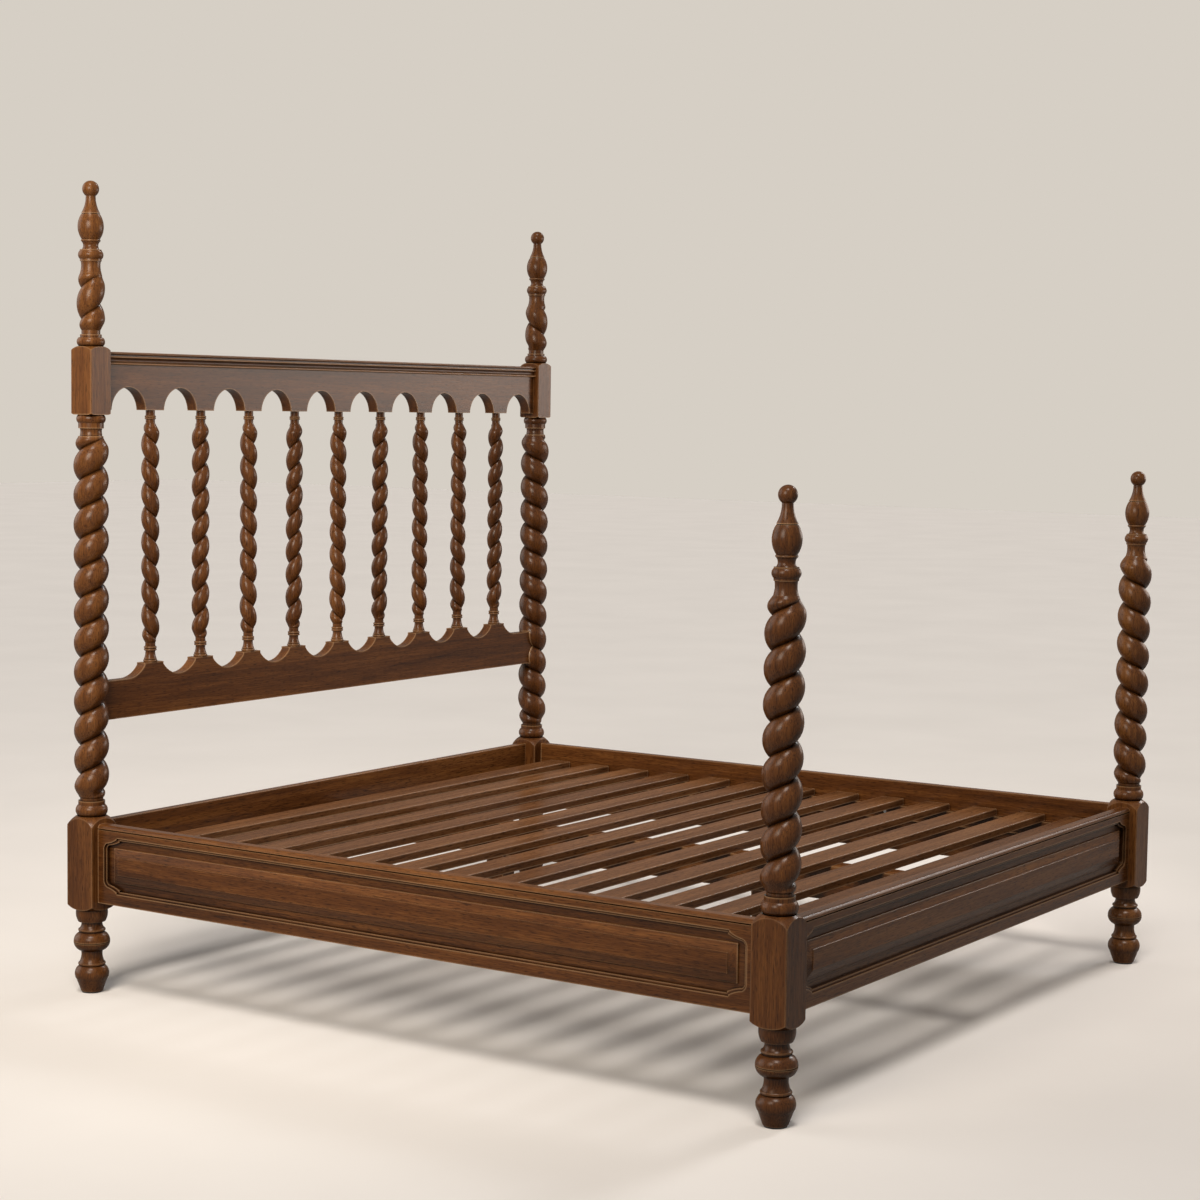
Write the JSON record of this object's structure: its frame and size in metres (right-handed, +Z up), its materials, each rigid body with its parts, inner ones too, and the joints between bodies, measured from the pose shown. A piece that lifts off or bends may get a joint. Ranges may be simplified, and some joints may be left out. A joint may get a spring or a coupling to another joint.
{
  "type": "poster bed",
  "caption": "King poster bed with barley-twist posts and spindles, a scalloped headboard, panelled rails and a slatted mattress deck on a centre beam.",
  "frame": {"origin": "on the floor, under the middle of the bed's outer box", "axes": "+Z up, +Y towards the headboard, +X towards the right-hand side seen from the foot"},
  "size_m": [2.0844, 2.1542, 2.108],
  "materials": {
    "stained_wood": "dark walnut stain under satin varnish, open grain",
    "slat_wood": "planed board, walnut stain, low sheen",
    "frame_wood": "planed timber, walnut stain, low sheen",
    "peg_wood": "plain turned dowel",
    "steel": "zinc-plated steel",
    "glide_plastic": "matt black moulded plastic"
  },
  "bodies": {
    "root": {"beam_hanger_foot": "steel", "beam_hanger_head": "steel", "centre_beam": "frame_wood", "centre_leg_bolts": "steel", "centre_leg_foot": "frame_wood", "centre_leg_glides": "glide_plastic", "centre_leg_head": "frame_wood", "foot_panel": "stained_wood", "foot_post_left": "stained_wood", "foot_post_right": "stained_wood", "foot_rail": "stained_wood", "hanger_screws": "steel", "head_cross_rail": "stained_wood", "head_post_left": "stained_wood", "head_post_right": "stained_wood", "headboard_cap_moulding": "stained_wood", "headboard_lower_rail": "stained_wood", "headboard_top_rail": "stained_wood", "hook_plate_screws": "steel", "ledger_screws": "steel", "post_glides": "glide_plastic", "post_slot_plates": "steel", "rail_hook_plates": "steel", "side_panel_left": "stained_wood", "side_panel_right": "stained_wood", "side_rail_left": "stained_wood", "side_rail_right": "stained_wood", "slat_01": "slat_wood", "slat_02": "slat_wood", "slat_03": "slat_wood", "slat_04": "slat_wood", "slat_05": "slat_wood", "slat_06": "slat_wood", "slat_07": "slat_wood", "slat_08": "slat_wood", "slat_09": "slat_wood", "slat_10": "slat_wood", "slat_11": "slat_wood", "slat_12": "slat_wood", "slat_13": "slat_wood", "slat_ledger_left": "frame_wood", "slat_ledger_right": "frame_wood", "slat_pegs": "peg_wood", "spindle_1": "stained_wood", "spindle_2": "stained_wood", "spindle_3": "stained_wood", "spindle_4": "stained_wood", "spindle_5": "stained_wood", "spindle_6": "stained_wood", "spindle_7": "stained_wood", "spindle_8": "stained_wood", "spindle_9": "stained_wood"}
  },
  "joints": []
}
